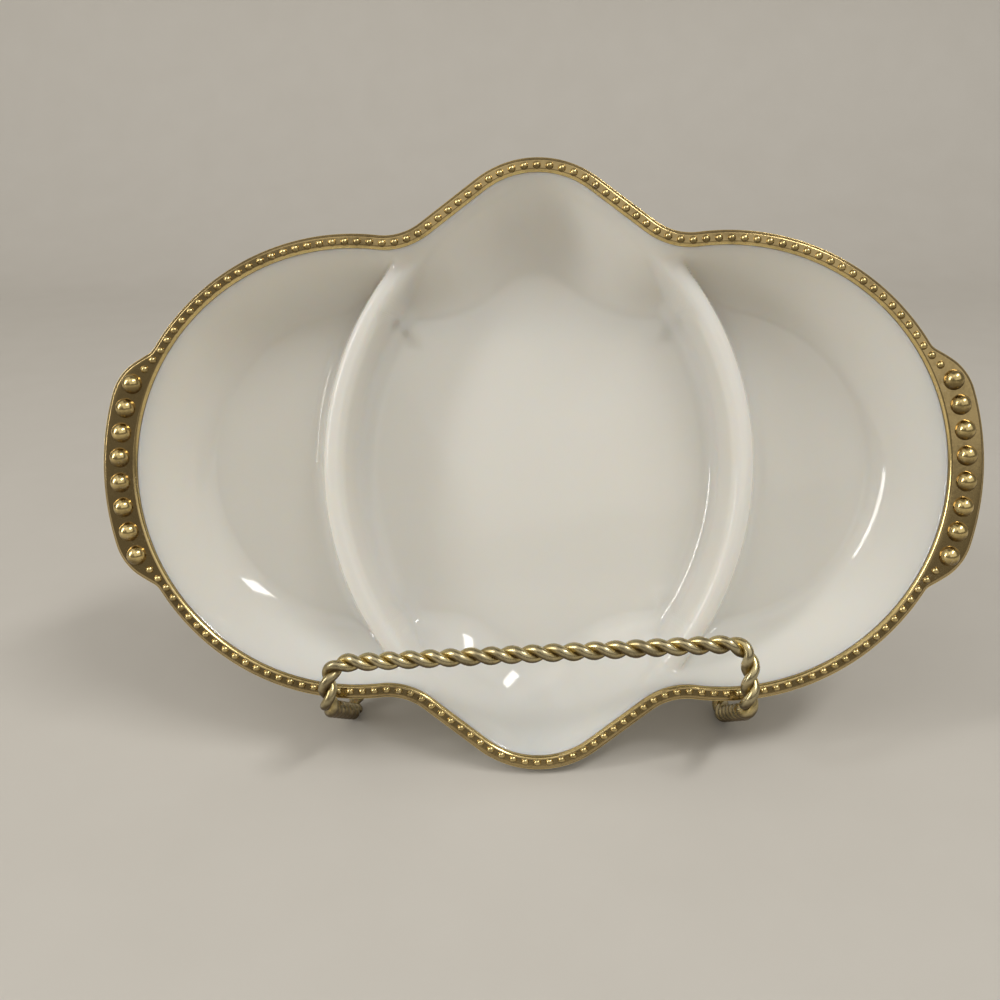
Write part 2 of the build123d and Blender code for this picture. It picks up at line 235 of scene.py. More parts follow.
def make_mesh(name, points, faces, body, node):
    """A new object from world points (n, 3) and arrays of faces. It rides on a body and stands for a CAD
    node."""
    mesh = bpy.data.meshes.new(name)
    mesh.from_pydata(points.tolist(), [], [face for part in faces for face in part.tolist()])
    mesh.validate()
    mesh.shade_smooth()
    piece = bpy.data.objects.new(name, mesh)
    bpy.context.scene.collection.objects.link(piece)
    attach(piece, body)
    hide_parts(node)
    return piece


def set_attribute(piece, name, values):
    """One number per vertex, for the material."""
    attribute = piece.data.attributes.new(name, "FLOAT", "POINT")
    attribute.data.foreach_set("value", np.ascontiguousarray(values, np.float32).ravel())


def grid_faces(rows, columns, flip=False, loop=False):
    """Quads of a grid of rows x columns. Its columns close on themselves, and so do the rows of a loop."""
    row, column = np.meshgrid(np.arange(rows if loop else rows - 1), np.arange(columns), indexing="ij")
    here, above = row * columns, (row + 1) % rows * columns
    beside = (column + 1) % columns
    quads = np.stack([here + column, here + beside, above + beside, above + column], axis=-1).reshape(-1, 4)
    return quads[:, ::-1] if flip else quads


def fan_faces(pole, ring, flip=False):
    """Triangles from a pole vertex to a closed ring of vertex numbers."""
    fan = np.stack([np.full(len(ring), pole), ring, np.roll(ring, -1)], axis=-1)
    return fan[:, ::-1] if flip else fan


def closed_faces(rows, columns, flip=False):
    """Faces of a closed skin: the grid's quads, and a fan that closes its first row and its last row.
    The poles of the fans are the two vertices after the grid."""
    ring = np.arange(columns)
    return [
        grid_faces(rows, columns, flip),
        fan_faces(rows * columns, ring, not flip),
        fan_faces(rows * columns + 1, ring + (rows - 1) * columns, flip),
    ]


def rim_centre():
    """Middle of the rim's plane: the middle of the floor, out by the floor's depth."""
    return np.array(FLOOR_MOUNT["pos_m"], float) + OUT * sizes("dish_sizes").floor_depth


def in_dish(x, v, w):
    """World points from dish coordinates: x across, v up the rim's plane, w out of it.
    Point = rim centre + x*across + v*up + w*out."""
    x, v, w = np.broadcast_arrays(x, v, w)
    return rim_centre() + x[..., None] * ACROSS + v[..., None] * UP + w[..., None] * OUT


# ---------------------------------------------------------------- outlines of the dish

def tip_height():
    """Centre of the dish to a point of the well: the lobe's radius and the rise, added."""
    dish = sizes("dish_sizes")
    return dish.lobe_radius + dish.tip_rise


def quarter_parts(lobe, tip, tip_round, waist):
    """What a quarter outline's four tangent parts turn on: a lobe arc about the lobe's centre, a hollow
    waist arc, a straight flank and a point arc. Gives the turns of the lobe and the waist, the waist's
    centre and the flank's length, which puts the waist's centre at lobe + waist from the lobe's centre.
    Sizes may be arrays of any one shape."""
    dish = sizes("dish_sizes")
    slope = dish.tip_flank
    start_x = math.sin(slope) * (tip_round + waist) - dish.lobe_offset
    start_v = tip - tip_round + math.cos(slope) * (tip_round + waist)
    along = start_x * math.cos(slope) - start_v * math.sin(slope)
    square = start_x**2 + start_v**2
    flank = -along - np.sqrt(along**2 - square + (lobe + waist) ** 2)
    waist_x = start_x + flank * math.cos(slope) + dish.lobe_offset
    waist_v = start_v - flank * math.sin(slope)
    lobe_turn = np.arctan2(waist_v, waist_x - dish.lobe_offset)
    waist_turn = math.pi / 2 - slope - lobe_turn
    return lobe_turn, waist_turn, waist_x, waist_v, flank


def outline(lobe, tip, tip_round, waist, part, t, side_x, side_v):
    """Points of an outline. Part says which of the four parts a column lies on, t how far along it is, and
    the sides mirror it into its quarter.
    Point = arc centre + radius*(cos, sin), or start of the flank + t*length*way."""
    dish = sizes("dish_sizes")
    lobe_turn, waist_turn, waist_x, waist_v, flank = quarter_parts(lobe, tip, tip_round, waist)
    slope = dish.tip_flank
    on_lobe = t * lobe_turn
    on_waist = math.pi + lobe_turn + t * waist_turn
    on_tip = math.pi / 2 - slope + t * slope
    low_x, low_v = waist_x - waist * math.sin(slope), waist_v - waist * math.cos(slope)
    x = np.select(
        [part == 0, part == 1, part == 2],
        [
            dish.lobe_offset + lobe * np.cos(on_lobe),
            waist_x + waist * np.cos(on_waist),
            low_x - t * flank * math.cos(slope),
        ],
        tip_round * np.cos(on_tip),
    )
    v = np.select(
        [part == 0, part == 1, part == 2],
        [lobe * np.sin(on_lobe), waist_v + waist * np.sin(on_waist), low_v + t * flank * math.sin(slope)],
        tip - tip_round + tip_round * np.sin(on_tip),
    )
    return side_x * x, side_v * v


def columns():
    """Columns round the dish, from the middle of the right lobe through the top point and round.
    Each has its part of the quarter outline, its share along that part and its mirror sides.
    They are even along a part, but on a lobe they crowd at a handle's root and shoulder: the turn of
    column k inverts the running sum of 1 + more*exp(-((turn - corner)/spread)^2), over both corners."""
    dish, band = sizes("dish_sizes"), sizes("band_sizes")
    counts = (100, 28, 16, 14)  # on a quarter's lobe, waist, flank and point
    lobe_turn = float(quarter_parts(dish.lobe_radius, tip_height(), dish.tip_radius, dish.waist_radius)[0])
    turn = np.linspace(0.0, lobe_turn, 4000)
    root = math.asin((band.handle_shoulder + band.handle_flank_rise) / (dish.lobe_radius + band.width))
    shoulder = 0.72 * root
    density = np.ones_like(turn)
    for corner, more, spread in ((root, 1.6, 0.035), (shoulder, 1.2, 0.06)):
        density += more * np.exp(-(((turn - corner) / spread) ** 2))
    amount = np.concatenate([[0], np.cumsum((density[1:] + density[:-1]) / 2)])
    on_lobe = np.interp(np.arange(counts[0]) / counts[0] * amount[-1], amount, turn) / lobe_turn
    t = np.concatenate([on_lobe] + [np.arange(n) / n for n in counts[1:]])
    part = np.repeat([0, 1, 2, 3], counts)
    # Every second quarter runs back, from the point's last column to just short of the lobe's first.
    back_t, back_part = np.append(t, 1.0)[:0:-1], np.append(part, 3)[:0:-1]
    return (
        np.concatenate([part, back_part, part, back_part]),
        np.concatenate([t, back_t, t, back_t]),
        np.repeat([1, -1, -1, 1], len(t)),
        np.repeat([1, 1, -1, -1], len(t)),
    )


def well(grow, cols):
    """The well's outline at the rim, grown outwards."""
    dish = sizes("dish_sizes")
    tip = tip_height() + grow
    return outline(dish.lobe_radius + grow, tip, dish.tip_radius + grow, dish.waist_radius - grow, *cols)


def wall_line(depth_share, grow, cols):
    """The wall's outline at a share t of its depth, 0 at the rim and 1 at the floor, grown outwards.
    It comes in by draft*t + (1 - draft)*(1 - sqrt(1 - t^2)): a straight draft and a quarter ellipse."""
    dish = sizes("dish_sizes")
    come_in = dish.draft * depth_share + (1 - dish.draft) * (1 - np.sqrt(1 - depth_share**2))
    return outline(
        dish.lobe_radius + grow - dish.lobe_inset * come_in,
        tip_height() + grow - (dish.lobe_inset + dish.tip_sinking * dish.tip_rise) * come_in,
        dish.tip_radius + grow - dish.tip_tightening * come_in,
        dish.waist_radius - grow + dish.lobe_inset * come_in,
        *cols,
    )


def arc_points(centre, radius, first, last, count):
    """Points of an arc: centre + radius*(cos, sin)."""
    turn = np.linspace(first, last, count)
    return centre[0] + radius * np.cos(turn), centre[1] + radius * np.sin(turn)


def turn_of(vector):
    """The angle of a flat vector, from the first axis."""
    return math.atan2(vector[1], vector[0])


def leaving(start, way, centre, radius):
    """Where a line leaves a circle: start + s*way, with s = sqrt(b^2 - c) - b, b = (start - centre).way and
    c = |start - centre|^2 - radius^2."""
    off = start - centre
    along = off @ way
    return start + way * (math.sqrt(along**2 - off @ off + radius**2) - along)


def handle_reach(theta):
    """Distance of the gilded band's outer edge from the lobe's centre, along the direction theta: the round
    rim, and over it the handle, with a crowned end, rounded shoulders, straight flanks and hollow roots.
    A shoulder's circle lies inside the crown and the flank, a root's outside the rim and the flank."""
    dish, band = sizes("dish_sizes"), sizes("band_sizes")
    rim = dish.lobe_radius + band.width
    reach = rim + band.handle_projection
    root_height = band.handle_shoulder + band.handle_flank_rise
    root = np.array([math.sqrt(rim**2 - root_height**2), root_height])
    corner = np.array([reach - band.handle_crown, band.handle_shoulder])
    way = (corner - root) / np.linalg.norm(corner - root)
    normal = np.array([-way[1], way[0]])
    crown_radius = (band.handle_crown**2 + band.handle_shoulder**2) / (2 * band.handle_crown)
    crown = np.array([reach - crown_radius, 0.0])
    round_in, round_out = band.handle_shoulder_radius, band.handle_root_radius
    shoulder = leaving(corner - normal * round_in, way, crown, crown_radius - round_in)
    hollow = leaving(root + normal * round_out, way, np.zeros(2), rim + round_out)
    to_crown, to_flank, to_rim = turn_of(shoulder - crown), turn_of(normal), turn_of(hollow)
    arcs = (
        arc_points(crown, crown_radius, 0.0, to_crown, 60),
        arc_points(shoulder, round_in, to_crown, to_flank, 24),
        arc_points(hollow, round_out, to_flank - math.pi, to_rim - math.pi, 24),
        arc_points((0.0, 0.0), rim, to_rim, math.pi, 60),
    )
    x, y = np.hstack(arcs)
    return np.interp(theta, np.arctan2(y, x), np.hypot(x, y))


def gilded_line(cols):
    """The gilded band's outer outline, handles included, and its outward normal in the rim's plane.
    The normal is square to the tangent, which is the central difference of the points round the outline."""
    dish, band = sizes("dish_sizes"), sizes("band_sizes")
    part, t, side_x, side_v = cols
    x, v = well(band.width, cols)
    rim, tip = dish.lobe_radius + band.width, tip_height() + band.width
    theta = t * quarter_parts(rim, tip, dish.tip_radius + band.width, dish.waist_radius - band.width)[0]
    far = handle_reach(theta)
    x = np.where(part == 0, side_x * (dish.lobe_offset + far * np.cos(theta)), x)
    v = np.where(part == 0, side_v * far * np.sin(theta), v)
    tangent_x, tangent_v = np.roll(x, -1) - np.roll(x, 1), np.roll(v, -1) - np.roll(v, 1)
    size = np.hypot(tangent_x, tangent_v)
    return x, v, tangent_v / size, -tangent_x / size


# ---------------------------------------------------------------- glass dish

def divider_height(x, v):
    """Height of the dividers over the floor, at a distance r from the crest's arc: a flat crest, a round
    edge of radius c, a straight side and a round foot of radius f that meets the floor level.
    Edge: top - c + sqrt(c^2 - q^2), q past its start. Foot: f - sqrt(f^2 - q^2), q short of its end."""
    dish, divider = sizes("dish_sizes"), sizes("divider_sizes")
    top = dish.floor_depth - divider.crest_depth
    lean = math.atan2(top, divider.side_draft)
    turn = math.tan(lean / 2)
    edge_start = divider.crest_width / 2 - divider.crest_round * turn
    edge_end = edge_start + divider.crest_round * math.sin(lean)
    foot_end = divider.crest_width / 2 + divider.side_draft + divider.foot_round * turn
    foot_start = foot_end - divider.foot_round * math.sin(lean)
    r = np.abs(np.hypot(np.abs(x) - (divider.crest - divider.arc), v) - divider.arc)
    into_edge = np.clip(r - edge_start, 0.0, edge_end - edge_start)
    into_foot = np.clip(foot_end - r, 0.0, foot_end - foot_start)
    edge = top - divider.crest_round + np.sqrt(divider.crest_round**2 - into_edge**2)
    foot = divider.foot_round - np.sqrt(divider.foot_round**2 - into_foot**2)
    side = edge - np.maximum(r - edge_end, 0.0) * math.tan(lean)
    return np.where(r < foot_start, side, foot)


def blended(a, b, reach):
    """The higher of two heights with a soft corner: (a^p + b^p)^(1/p), where the power p goes from 1 at the
    floor to 8 well over it, by 1 + 7*(1 - exp(-(a + b)/reach))."""
    power = 1 + 7 * (1 - np.exp(-(a + b) / reach))
    high = np.maximum(a, b)
    lower_part = np.minimum(a, b) / np.maximum(high, 1e-9)
    return high * (1 + lower_part**power) ** (1 / power)


def floor_rows(edge_x, edge_v, rows):
    """Points on the rays from the middle of the floor to its edge, closer together over a divider.
    The share u of row k inverts the running sum of 1 + 8*exp(-((u - crossing)/0.09)^2) along each ray."""
    divider = sizes("divider_sizes")
    reach = np.hypot(edge_x, edge_v)
    cos, sin = np.abs(edge_x) / reach, edge_v / reach
    middle = divider.crest - divider.arc
    crossing = (middle * cos + np.sqrt(divider.arc**2 - (middle * sin) ** 2)) / reach
    fine = np.linspace(0.0, 1.0, 400)[:, None]
    density = 1 + 8 * np.exp(-(((fine - crossing) / 0.09) ** 2))
    total = np.cumsum(density, axis=0)
    total = (total - total[0]) / (total[-1] - total[0])
    wanted = np.arange(1, rows) / rows
    low = np.sum(total[None, :, :] <= wanted[:, None, None], axis=1) - 1
    low = np.clip(low, 0, len(fine) - 2)
    before = np.take_along_axis(total, low, axis=0)
    after = np.take_along_axis(total, low + 1, axis=0)
    u = (low + (wanted[:, None] - before) / (after - before)) / (len(fine) - 1)
    return u * edge_x, u * edge_v


def glass_inside(cols):
    """Inside of the dish: rows over the floor, then up the wall to just under the gilding, with the
    dividers blended in. A row of the wall is the wall's outline at the depth floor*sin(a)."""
    dish, band, divider = sizes("dish_sizes"), sizes("band_sizes"), sizes("divider_sizes")
    floor_count, wall_count = 78, 44
    floor_x, floor_v = floor_rows(*wall_line(np.array(1.0), 0.0, cols), floor_count)
    rise = np.linspace(math.pi / 2, math.asin(band.thickness / dish.floor_depth), wall_count)[:, None]
    wall_x, wall_v = wall_line(np.sin(rise), 0.0, cols)
    wall_height = np.broadcast_to(dish.floor_depth * (1 - np.sin(rise)), wall_x.shape)
    x, v = np.vstack([floor_x, wall_x]), np.vstack([floor_v, wall_v])
    height = np.vstack([np.zeros_like(floor_x), wall_height])
    return x, v, dish.floor_depth - blended(height, divider_height(x, v), divider.blend)


def glass_rim(cols):
    """Rim of the dish: out under the band, down its rounded edge and in under the flange.
    Each row lies a step in from the gilded outline, and a step down from the rim's plane."""
    dish, band = sizes("dish_sizes"), sizes("band_sizes")
    upper, lower = band.thickness, dish.flange
    steps = np.array(
        [
            (0.0006, upper),
            (0.0002, upper + 0.0002),
            (0.0, upper + 0.0007),
            (0.0, lower - 0.0012),
            (0.0003, lower - 0.0005),
            (0.0009, lower - 0.0001),
            (0.0016, lower),
        ]
    )
    out_x, out_v, normal_x, normal_v = gilded_line(cols)
    x, v = out_x - steps[:, :1] * normal_x, out_v - steps[:, :1] * normal_v
    return x, v, np.broadcast_to(steps[:, 1:], x.shape)


def glass_outside(cols):
    """Outside of the dish: down the wall and in over the flat base. A row of the wall is its outline at the
    depth w = thickness + (depth - thickness)*sin(a), pushed out by corner*exp(-(w - flange)/corner), which
    makes a soft corner under the rim. The base's rows lie a step in from the wall's last row."""
    dish, band = sizes("dish_sizes"), sizes("band_sizes")
    row_count, corner = 26, 0.0012
    start = math.asin((dish.flange - band.thickness) / (dish.depth - band.thickness))
    fall = np.linspace(start, math.pi / 2, row_count)[:, None]
    x, v = wall_line(np.sin(fall), dish.wall, cols)
    w = np.broadcast_to(band.thickness + (dish.depth - band.thickness) * np.sin(fall), x.shape)
    push = 1 + corner * np.exp(-(w - dish.flange) / corner) / np.hypot(x, v)
    x, v = x * push, v * push
    inwards = np.array([0.001, 0.004, 0.020])[:, None]
    shrink = 1 - inwards / np.hypot(x[-1], v[-1])
    base_w = np.full_like(shrink, dish.depth)
    return np.vstack([x, x[-1] * shrink]), np.vstack([v, v[-1] * shrink]), np.vstack([w, base_w])


class SERVER_OT_glass_dish(bpy.types.Operator):
    """Make the opal glass dish: one closed shell with two dividers"""

    bl_idname = "server.glass_dish"
    bl_label = "Glass dish"

    def execute(self, context):
        dish = sizes("dish_sizes")
        cols = columns()
        parts = zip(glass_inside(cols), glass_rim(cols), glass_outside(cols))
        grid_x, grid_v, grid_w = (np.vstack(rows) for rows in parts)
        x, v = np.append(grid_x, [0.0, 0.0]), np.append(grid_v, [0.0, 0.0])
        w = np.append(grid_w, [dish.floor_depth, dish.depth])
        faces = closed_faces(*grid_x.shape, flip=True)
        shell = make_mesh("dish_glass", in_dish(x, v, -w), faces, "dish", "glass_dish")
        set_attribute(shell, "depth", w / dish.depth)
        finish(shell, "opal glass", opal_glass)
        return {"FINISHED"}


# ---------------------------------------------------------------- gilded band and beads

class SERVER_OT_gilt_band(bpy.types.Operator):
    """Make the gilded band: a crowned profile with a thin outer lip, round the rim and the handles"""

    bl_idname = "server.gilt_band"
    bl_label = "Gilded band"

    def execute(self, context):
        # The profile, as rows. An edge falls by edge_fall*(1 - step)^2 over its width.
        band = sizes("band_sizes")
        cols = columns()
        edge_steps = np.array([0.0, 0.04, 0.12, 0.24, 0.38, 0.55, 0.72, 0.88, 1.0])
        edge_lift = band.crown - band.edge_fall * (1 - edge_steps) ** 2
        # Inner side: up beside the glass and round to the crown.
        foot_lift = -band.thickness * np.array([1.0, 0.65])
        inner_grow = np.append(np.zeros_like(foot_lift), edge_steps * band.inner_edge)
        inner_x, inner_v = well(inner_grow[:, None], cols)
        inner_w = np.append(foot_lift, edge_lift)
        # Outer side: down the edge, into a fine groove, over the lip and down its outer face.
        lip_in = band.lip * np.array([1.0, 0.78, 0.55, 0.3, 0.1, 0.0, 0.0])
        lip_fall = np.array([0.00022, 0.00012, 0.00006, 0.00008, 0.0002, 0.0004])
        lip_lift = np.append(band.crown - band.edge_fall - lip_fall, -band.thickness)
        outer_in = np.append(band.lip + edge_steps[::-1] * band.outer_edge, lip_in)[:, None]
        out_x, out_v, normal_x, normal_v = gilded_line(cols)
        outer_x, outer_v = out_x - outer_in * normal_x, out_v - outer_in * normal_v
        outer_w = np.append(edge_lift[::-1], lip_lift)
        # Crown: straight across between the two edges.
        t = (np.arange(1, 6) / 6)[:, None]
        crown_x = inner_x[-1] * (1 - t) + outer_x[0] * t
        crown_v = inner_v[-1] * (1 - t) + outer_v[0] * t
        x, v = np.vstack([inner_x, crown_x, outer_x]), np.vstack([inner_v, crown_v, outer_v])
        w = np.concatenate([inner_w, np.full(len(t), band.crown), outer_w])[:, None]
        faces = [grid_faces(*x.shape, flip=True, loop=True)]
        points = in_dish(x, v, w).reshape(-1, 3)
        gilding = make_mesh("gilt_band", points, faces, "dish", "gilt_rim")
        # Painted shade darkens the gold beside the glass and in the groove. A painted highlight brightens the
        # inner edge and the lip, where the gold also wears through in more flecks.
        feet, lips = len(foot_lift), len(lip_lift)
        hollow, wear_and_highlight = np.zeros_like(x), np.zeros_like(x)
        hollow[:feet] = 1.0
        hollow[-lips - 2 : -lips + 1] = 0.7
        wear_and_highlight[feet : feet + 6] = 1.0
        wear_and_highlight[-lips:-1] = 1.0
        set_attribute(gilding, "hollow", hollow)
        set_attribute(gilding, "wear_and_highlight", wear_and_highlight)
        finish(gilding, "fired gold", fired_gold)
        return {"FINISHED"}


def bead_mesh(name, node, places, radius, segments, rings, sink):
    """Domes at places (n, 2) in the rim's plane. A dome is radius*(p*cos e, p*sin e, sin a) about its
    place, with p = cos a + flare*(1 - a/0.5)^2 below a = 0.5, and its sunk foot is closed by a disc."""
    flare = 0.05
    turn = np.arange(segments) / segments * 2 * math.pi
    rise = np.linspace(0.0, math.pi / 2, rings + 1)[:-1]
    dome = np.cos(rise) + flare * np.clip(1 - rise / 0.5, 0, 1) ** 2
    reach = np.append(1 + flare, dome)[:, None] * radius
    x = np.append(reach * np.cos(turn), [0.0, 0.0])
    v = np.append(reach * np.sin(turn), [0.0, 0.0])
    w = np.append(np.repeat(np.append(-sink, np.sin(rise)), segments), [-sink, 1.0]) * radius
    points = in_dish(places[:, :1] + x, places[:, 1:] + v, w).reshape(-1, 3)
    first = (np.arange(len(places)) * len(x))[:, None, None]
    faces = [(part + first).reshape(-1, part.shape[1]) for part in closed_faces(len(reach), segments)]
    beads = make_mesh(name, points, faces, "dish", node)
    # Painted shade darkens the lower side and a painted highlight brightens the top, where the gold also wears
    # through in more flecks.
    set_attribute(beads, "hollow", np.tile(np.clip(-1.6 * v / radius - 0.1, 0, 1), len(places)))
    set_attribute(beads, "wear_and_highlight", np.tile(np.clip(2 * (w / radius - 0.3), 0, 1), len(places)))
    finish(beads, "fired gold", fired_gold)


def large_bead_places():
    """Places of the right handle's large beads, bottom to top: middle of the arc + radius*(cos, sin)."""
    dish, band = sizes("dish_sizes"), sizes("band_sizes")
    reach = dish.lobe_offset + dish.lobe_radius + band.width + band.handle_projection
    arc = band.large_bead_arc
    middle = reach - band.large_bead_inset - arc
    steps = np.arange(band.large_bead_count) - (band.large_bead_count - 1) / 2
    turn = steps * band.large_bead_pitch / arc
    return np.stack([middle + arc * np.cos(turn), arc * np.sin(turn)], axis=-1)


class SERVER_OT_rim_beads(bpy.types.Operator):
    """Make the small beads: a row to each point of the rim, and a few that lead to the large beads"""

    bl_idname = "server.rim_beads"
    bl_label = "Small beads"

    def execute(self, context):
        dish, band = sizes("dish_sizes"), sizes("band_sizes")
        t = np.linspace(0.0, 1.0, 600)
        part = np.repeat([0, 1, 2, 3], len(t))
        line_x, line_v = well(band.bead_row, (part, np.tile(t, 4), 1, 1))
        run = np.concatenate([[0], np.cumsum(np.hypot(np.diff(line_x), np.diff(line_v)))])
        first = (dish.lobe_radius + band.bead_row) * band.bead_start
        count = round((run[-1] - first) / band.bead_pitch)
        wanted = first + np.arange(count) * (run[-1] - first) / count
        in_row = np.stack([np.interp(wanted, run, line_x), np.interp(wanted, run, line_v)], axis=-1)
        way = large_bead_places()[-1] - in_row[0]
        step = way / np.linalg.norm(way) * band.bead_pitch
        lead = in_row[0] + np.arange(1, band.lead_beads + 1)[:, None] * step
        quarter = np.vstack([lead, in_row])
        at_points = np.array([[0.0, line_v[-1]], [0.0, -line_v[-1]]])
        places = np.vstack([at_points] + [quarter * (i, j) for i in (1, -1) for j in (1, -1)])
        bead_mesh("small_beads", "rim_beads", places, band.bead_radius, segments=14, rings=5, sink=0.1)
        return {"FINISHED"}


class SERVER_OT_handle_beads(bpy.types.Operator):
    """Make the large beads in a shallow arc along each handle"""

    bl_idname = "server.handle_beads"
    bl_label = "Large beads"

    def execute(self, context):
        band = sizes("band_sizes")
        for hand, side in (("right", 1), ("left", -1)):
            name, node = f"{hand}_large_beads", f"{hand}_handle_beads"
            places = large_bead_places() * (side, 1)
            bead_mesh(name, node, places, band.large_bead_radius, segments=40, rings=14, sink=0.05)
        return {"FINISHED"}


# ---------------------------------------------------------------- twisted wire

def turned(vector, axis, angles):
    """A vector turned about an axis by each angle: v*cos + (axis x v)*sin + axis*(axis.v)*(1 - cos)."""
    c, s = np.cos(angles)[:, None], np.sin(angles)[:, None]
    return vector * c + np.cross(axis, vector) * s + axis * (axis @ vector) * (1 - c)


def bent_route(corners, radii, step):
    """A route of straight runs joined by round bends: its points, tangents and a side vector that never
    twists about the route. Along a bend both vectors turn about the bend's own axis."""
    ways = np.diff(corners, axis=0)
    ways /= np.linalg.norm(ways, axis=1)[:, None]
    not_along_it = (0.0, 0.3, 1.0)
    side = np.cross(ways[0], not_along_it)
    side /= np.linalg.norm(side)
    start = corners[0]
    points, tangents, sides = [], [], []
    for k, way in enumerate(ways):
        last = k == len(ways) - 1
        end = corners[k + 1]
        if not last:
            turn = math.acos(float(np.clip(way @ ways[k + 1], -1, 1)))
            end = end - way * radii[k] * math.tan(turn / 2)
        count = max(2, int(np.linalg.norm(end - start) / step) + 1)
        t = np.linspace(0, 1, count, endpoint=last)[:, None]
        points.append(start + t * (end - start))
        tangents.append(np.repeat(way[None], count, axis=0))
        sides.append(np.repeat(side[None], count, axis=0))
        if last:
            break
        axis = np.cross(way, ways[k + 1])
        axis /= np.linalg.norm(axis)
        bend = np.linspace(0, turn, max(4, int(turn * radii[k] / step) + 1), endpoint=False)
        arm = np.cross(way, axis) * radii[k]
        points.append(end - arm + turned(arm, axis, bend))
        tangents.append(turned(way, axis, bend))
        sides.append(turned(side, axis, bend))
        whole = np.array([turn])
        start = end - arm + turned(arm, axis, whole)[0]
        side = turned(side, axis, whole)[0]
    return np.vstack(points), np.vstack(tangents), np.vstack(sides)


def twisted_pair(names, node, body, corners, radii):
    """Two wires wound round a route as a right-handed helix. With N and B square to the route, a wire's
    centre is route + r*(cos p*N + sin p*B), p = 2*pi*length/pitch, and its skin is a circle of the wire's
    radius square to the wire's own tangent."""
    wire = sizes("wire_sizes")
    steps_per_turn, sides = 26, 16
    route, tangent, side = bent_route(corners, radii, wire.pitch / steps_per_turn)
    run = np.concatenate([[0], np.cumsum(np.linalg.norm(np.diff(route, axis=0), axis=1))])
    binormal = np.cross(tangent, side)
    around = np.arange(sides) / sides * 2 * math.pi
    cos, sin = np.cos(around)[None, :, None], np.sin(around)[None, :, None]
    for k, name in enumerate(names):
        phase = (2 * math.pi * run / wire.pitch + k * math.pi)[:, None]
        away = np.cos(phase) * side + np.sin(phase) * binormal
        centre = route + wire.twist_radius * away
        forward = np.gradient(centre, axis=0)
        forward /= np.linalg.norm(forward, axis=1)[:, None]
        level = np.cross(forward, away)
        level /= np.linalg.norm(level, axis=1)[:, None]
        radial = np.cross(level, forward)
        spoke = cos * radial[:, None] + sin * level[:, None]
        skin = centre[:, None] + wire.wire_radius * spoke
        points = np.vstack([skin.reshape(-1, 3), centre[:1], centre[-1:]])
        strand = make_mesh(name, points, closed_faces(len(route), sides), body, node)
        # Painted bounce light makes the brass yellower where the wires touch; painted shade darkens the underside.
        groove = np.tile(0.5 - 0.5 * np.cos(around), len(route))
        under = np.clip(0.1 - 1.1 * spoke[..., 2], 0, 1)
        set_attribute(strand, "groove", np.append(groove, [0.0, 0.0]))
        set_attribute(strand, "under", np.append(under, [0.0, 0.0]))
        finish(strand, "twisted brass", twisted_brass)


def heel_corner():
    """Middle of the easel, level with the corners where the arms meet the uprights."""
    wire = sizes("wire_sizes")
    return ROD - UP * (wire.rest_length - wire.rod_drop) + OUT * wire.rod_setback


class SERVER_OT_twisted_frame(bpy.types.Operator):
    """Make the twisted pair that forms the uprights, the arms, the hooks and the two bars"""

    bl_idname = "server.twisted_frame"
    bl_label = "Twisted frame"

    def execute(self, context):
        wire, dish = sizes("wire_sizes"), sizes("dish_sizes")
        heel = heel_corner()
        lean = math.atan2(UP[1], UP[2])
        tilt = math.tan(wire.arm_slope - lean)
        hook_out = wire.ferrule_radius + wire.seat_gap + dish.depth + wire.lip_reach
        rise = hook_out * tilt
        corners = [
            heel + ACROSS * x + UP * v + OUT * w
            for x, v, w in (
                (wire.end_gap / 2, wire.rest_length, 0),
                (wire.half_width, wire.rest_length, 0),
                (wire.half_width, 0, 0),
                (wire.half_width, rise, hook_out),
                (wire.half_width, rise + wire.right_lip, hook_out),
                (-wire.half_width, rise + wire.left_lip, hook_out),
                (-wire.half_width, rise, hook_out),
                (-wire.half_width, 0, 0),
                (-wire.half_width, wire.rest_length, 0),
                (-wire.end_gap / 2, wire.rest_length, 0),
            )
        ]
        radii = [wire.top_radius, wire.heel_radius, wire.hook_radius, wire.lip_radius]
        radii += radii[::-1]
        names = ["frame_wire_a", "frame_wire_b"]
        twisted_pair(names, "frame_wire_pair", "easel_frame", corners, radii)
        return {"FINISHED"}


class SERVER_OT_twisted_leg(bpy.types.Operator):
    """Make the twisted pair that forms the folding back leg"""

    bl_idname = "server.twisted_leg"
    bl_label = "Twisted leg"

    def execute(self, context):
        wire = sizes("wire_sizes")
        way = np.array([0.0, math.sin(wire.leg_spread), -math.cos(wire.leg_spread)])
        reach = (ROD[2] - wire.twist_radius - wire.wire_radius) / -way[2]
        side = ACROSS * wire.hinge_x
        top, foot = ROD + way * wire.leg_start, ROD + way * reach
        corners = [top + side, foot + side, foot - side, top - side]
        names = ["leg_wire_a", "leg_wire_b"]
        twisted_pair(names, "leg_wire_pair", "back_leg", corners, [wire.foot_radius] * 2)
        return {"FINISHED"}


# ---------------------------------------------------------------- fittings

class SERVER_OT_fittings(bpy.types.Operator):
    """Finish the sleeve, the hinge rod, its lugs and the leg hinges"""

    bl_idname = "server.fittings"
    bl_label = "Fittings"

    def execute(self, context):
        for node in (
            "top_ferrule",
            "hinge_rod",
            "left_rod_lug",
            "right_rod_lug",
            "left_leg_hinge",
            "right_leg_hinge",
        ):
            piece = frame["nodes"][node]
            weld = piece.modifiers.new("Weld", "WELD")
            weld.merge_threshold = 0.00001
            bevel = piece.modifiers.new("Bevel", "BEVEL")
            bevel.width = 0.00025
            bevel.segments = 2
            bevel.limit_method = "ANGLE"
            bevel.angle_limit = math.radians(50)
            finish(piece, "brass fittings", brass_fittings)
        return {"FINISHED"}


# ---------------------------------------------------------------- materials

